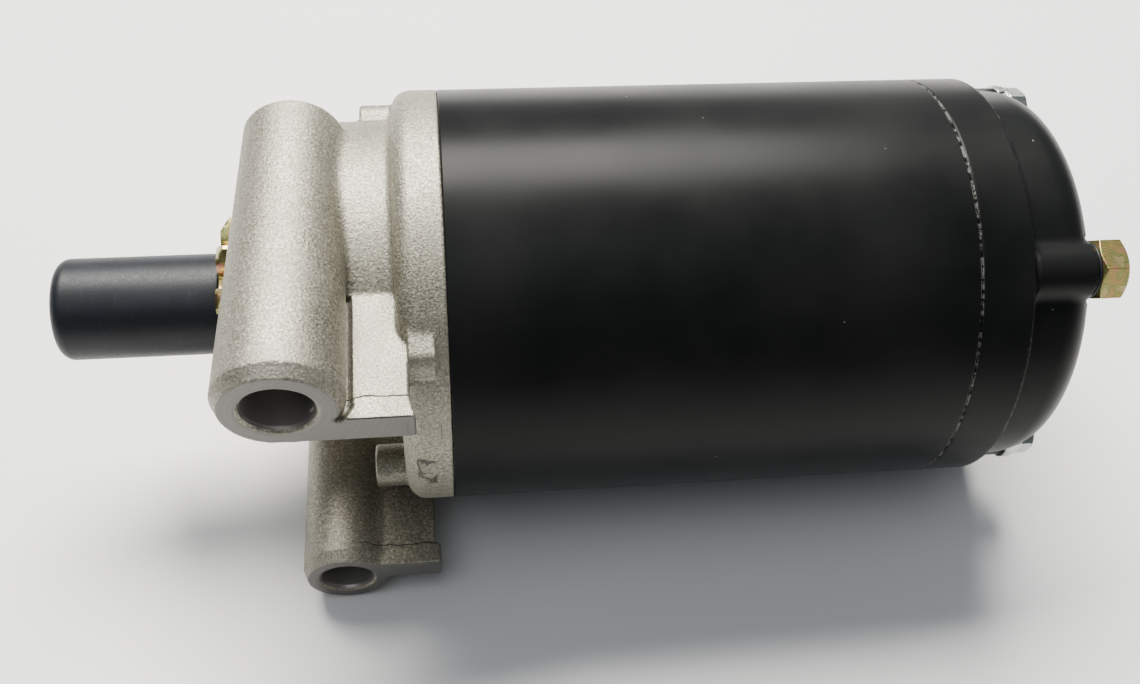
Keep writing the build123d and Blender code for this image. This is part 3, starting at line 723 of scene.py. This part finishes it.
def terminal_hex(p):
    """The terminal's nut, turned down at both ends, with a countersunk hole."""
    nut = hexagon(p, 10.0, NUT_FRONT, NUT_REAR, TERMINAL, TERMINAL_ANGLE, ("front", "rear"))
    off_axis = np.hypot(p[1] - TERMINAL[0], p[2] - TERMINAL[1])
    countersink = (off_axis - 3.5 + (NUT_REAR - p[0])) * 0.7
    return cut(cut(nut, off_axis - 3.03), countersink)


def terminal_thread(p):
    """The stud, with its one-millimetre thread."""
    x, y, z = p[0], p[1] - TERMINAL[0], p[2] - TERMINAL[1]
    turn = (x + np.arctan2(z, y) / (2 * pi)) % 1.0
    ridge = np.clip(np.abs(2 * turn - 1) * 1.3 - 0.1, 0, 1)
    depth = np.hypot(y, z) - 2.45 - 0.53 * ridge
    end = (np.hypot(y, z) - 2.5 + (x - STUD_REAR)) * 0.7
    return np.maximum(within(depth * 0.7, span(x, STUD_FRONT, STUD_REAR), 0.05), end)


def make_terminal():
    stand_in(solid("terminal_hex", beside(terminal_hex, TERMINAL, 142.1, 147.5, 6.1, 0.14)), "housing",
              "terminal_nut")
    stand_in(solid("terminal_screw", beside(terminal_thread, TERMINAL, 131.9, 147.3, 3.4, 0.13)), "housing",
              "terminal_stud")
    collar = corner_arc(142.1, 4.7, 0.2, 180, 90, 3) + corner_arc(142.2, 4.7, 0.2, 90, 0, 3)
    bush = [(136.6, 3.05), (136.6, 3.9), (TERMINAL_BOSS_REAR, 3.9)] + collar + [(142.4, 3.05)]
    stand_in(turned("terminal_bush", bush, TERMINAL, 96), "housing", "terminal_insulator")


# ---------------------------------------------------------------- drive

def involute(radius, base):
    """The involute angle at this radius."""
    tangent = (radius ** 2 - base ** 2) ** 0.5 / base
    return tangent - atan2(tangent, 1.0)


def gear_outline(teeth=10, module=2.54, root=10.4, tip=16.15, pressure=20.0, shift=0.35, steps=8):
    """The pinion's outline as (radius, angle) points, from involute flanks with filleted roots."""
    pitch = teeth * module / 2
    base = pitch * cos(radians(pressure))
    half = (pi / 2 + 2 * shift * tan(radians(pressure))) / teeth + involute(pitch, base)
    radii = [base + (tip - base) * n / steps for n in range(steps + 1)]
    flank = [(root, half * 1.22), (root + 0.12, half * 1.12), (root + 0.5, half * 1.03), (root + 1.0, half)]
    flank += [(radius, half - involute(radius, base)) for radius in radii]
    outline = []
    for tooth in range(teeth):
        centre = 2 * pi * (tooth + 0.5) / teeth
        outline += [(root, centre - pi / teeth)]
        outline += [(radius, centre - turn) for radius, turn in flank]
        outline += [(tip, centre)]
        outline += [(radius, centre + turn) for radius, turn in reversed(flank)]
    return outline


def make_pinion():
    """Ten teeth bevelled at the front, a short hub and a round bore."""
    outline = gear_outline()
    front = [(-8.0, 14.15), (-7.33, 15.15), (-6.67, 16.0), (-6.5, 16.15)]
    rear_and_bore = [(7.7, 16.15), (8.0, 15.85), (8.0, 6.9), (7.5, 6.35), (-10.2, 6.35)]
    hub = [(-10.5, 6.65), (-10.5, 7.1), (-10.3, 7.3), (-8.0, 7.3)]
    rings = [[(x, min(r, limit) * cos(a), min(r, limit) * sin(a)) for r, a in outline]
             for x, limit in front + rear_and_bore + hub]
    stand_in(stacked("pinion_gear", rings), "pinion", "drive_pinion")


def make_dust_cover():
    """A closed sleeve with a rounded tip and a rolled mouth."""
    tip = [(COVER_TIP, 0.001), (COVER_TIP, 3.5)] + corner_arc(-35.6, 6.93, 2.4, 180, 90, 12)
    mouth = [(-10.2, COVER_RADIUS)] + corner_arc(-8.7, 9.03, 0.3, 90, 0, 4)
    mouth += [(COVER_MOUTH, 8.5), (-8.6, 8.43)]
    inner = [(-35.6, 8.43), (-36.6, 7.4), (-37.1, 6.4), (-37.1, 0.001)]
    stand_in(turned("cover_sleeve", tip + mouth + inner), "cover", "dust_cover")


# ---------------------------------------------------------------- springs

def coil(name, base, axis, side, radius, wire, length, turns):
    """A spring of round wire, this thick from its middle, from a base point along an axis."""
    base, axis, side = Vector(base), Vector(axis), Vector(side)
    across = axis.cross(side)
    points, count, round_steps = [], int(turns * 24), 8
    for n in range(count + 1):
        turn = 2 * pi * turns * n / count
        out = side * cos(turn) + across * sin(turn)
        middle = base + axis * (wire + (length - 2 * wire) * n / count) + out * radius
        points += [(middle + (out * cos(a) + axis * sin(a)) * wire) * MM
                   for a in (2 * pi * k / round_steps for k in range(round_steps))]
    faces = [(n * round_steps + k, (n + 1) * round_steps + k,
              (n + 1) * round_steps + (k + 1) % round_steps, n * round_steps + (k + 1) % round_steps)
             for n in range(count) for k in range(round_steps)]
    last = range(count * round_steps, (count + 1) * round_steps)
    faces += [tuple(range(round_steps)), tuple(reversed(last))]
    mesh = bpy.data.meshes.new(name)
    mesh.from_pydata(points, [], faces)
    mesh.shade_smooth()
    return show(name, mesh)


def make_brush_springs():
    """Four coils behind the brushes, each made at one length, though a real one shortens as its brush lifts.
    """
    for number, angle in enumerate(BRUSH_ANGLES, 1):
        outward = Vector((0, *around(1.0, angle)))
        low, high = [Vector((BRUSH_X, 0, 0)) + outward * reach for reach in (25.05, 29.55)]
        spring = coil(f"brush_coil_{number}", low, outward, (1, 0, 0), 2.9, 0.3, 4.5, 3)
        stand_in(spring, "housing", f"brush_spring_{number}")
        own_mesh(spring)


def make_drift_spring():
    """The coil from the stop nut's flange to the spacer, made at one length, though the real one shortens as
    the pinion travels.
    """
    drift_coil = coil("drift_coil", (-27.5, 0, 0), (1, 0, 0), (0, 0, 1), 7.6, 0.35, 15.0, 4)
    stand_in(drift_coil, "armature", "anti_drift_spring")
    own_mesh(drift_coil)


make_casting()
make_rear_cap()
make_can()
make_bolts()
make_lock_washers()
make_terminal()
make_pinion()
make_dust_cover()
make_brush_springs()
make_drift_spring()


# ---------------------------------------------------------------- floor, light and camera

LOWEST_BOSS = (11.2 * MM, -41.1 * MM)      # (x, z) where the lower boss stands on the table
LOWEST_RIM = (130.4 * MM, -38.1 * MM)      # and where the rear cap's rim does


def make_floor():
    """The white table. It meets the lower boss and the rear cap's rim, so it tilts a little about Y."""
    slope = (LOWEST_RIM[1] - LOWEST_BOSS[1]) / (LOWEST_RIM[0] - LOWEST_BOSS[0])
    mesh = bpy.data.meshes.new("table")
    half = 1.5
    corners = [(x, y, LOWEST_BOSS[1] + slope * (x - LOWEST_BOSS[0])) for x, y in
               ((-half, -half), (half, -half), (half, half), (-half, half))]
    mesh.from_pydata(corners, [], [(0, 1, 2, 3)])
    table = bpy.data.objects.new("table", mesh)
    bpy.context.scene.collection.objects.link(table)
    g = Graph("table_white")
    colour = g.ramp(g.noise(2.0, 1.0), (0.3, (0.80, 0.80, 0.81)), (0.7, (0.84, 0.835, 0.83)))
    g.set(Base_Color=colour, Roughness=0.55)
    mesh.materials.append(g.material)


def area_light(name, place, aim, size, power, colour=(1, 1, 1)):
    """A soft rectangular light."""
    data = bpy.data.lights.new(name, "AREA")
    data.shape = "RECTANGLE"
    data.size, data.size_y = size
    data.energy = power
    data.color = colour
    lamp = bpy.data.objects.new(name, data)
    bpy.context.scene.collection.objects.link(lamp)
    lamp.location = place
    lamp.rotation_euler = (Vector(aim) - Vector(place)).to_track_quat("-Z", "Y").to_euler()


def make_lights():
    """A wide soft lamp above and behind, and a room that is dim on the camera's side."""
    world = bpy.data.worlds.new("studio")
    world.use_nodes = True
    nodes, links = world.node_tree.nodes, world.node_tree.links
    direction = nodes.new("ShaderNodeSeparateXYZ")
    links.new(nodes.new("ShaderNodeTexCoord").outputs["Generated"], direction.inputs[0])
    strength = nodes.new("ShaderNodeMapRange")
    links.new(direction.outputs["Y"], strength.inputs["Value"])
    for key, value in {"From Min": -0.7, "From Max": 0.8, "To Min": 0.09, "To Max": 0.28}.items():
        strength.inputs[key].default_value = value
    links.new(strength.outputs[0], nodes["Background"].inputs["Strength"])
    nodes["Background"].inputs["Color"].default_value = (0.84, 0.90, 1.0, 1.0)
    bpy.context.scene.world = world
    area_light("key", (-0.04, 0.60, 0.90), (0.04, 0, 0), (0.90, 0.50), 52, (1.0, 0.97, 0.915))
    area_light("fill", (-0.20, -0.25, 0.95), (0.02, 0, 0), (0.70, 0.70), 3, (0.93, 0.96, 1.0))


def make_camera():
    """The camera stands where it sees the motor from above its seat side, rolled a little."""
    data = bpy.data.cameras.new("camera")
    data.lens = 38.2
    data.sensor_width = 36.0
    data.clip_start = 0.01
    camera = bpy.data.objects.new("camera", data)
    bpy.context.scene.collection.objects.link(camera)
    right = Vector((0.992885, -0.100363, 0.064080))
    up = Vector((0.044874, 0.813843, 0.579350))
    back = right.cross(up)
    camera.matrix_world = Matrix.Translation(Vector((29.865, -141.207, 182.977)) * MM) @ \
        Matrix((right, up, back)).transposed().to_4x4()
    bpy.context.scene.camera = camera


make_floor()
make_lights()
make_camera()
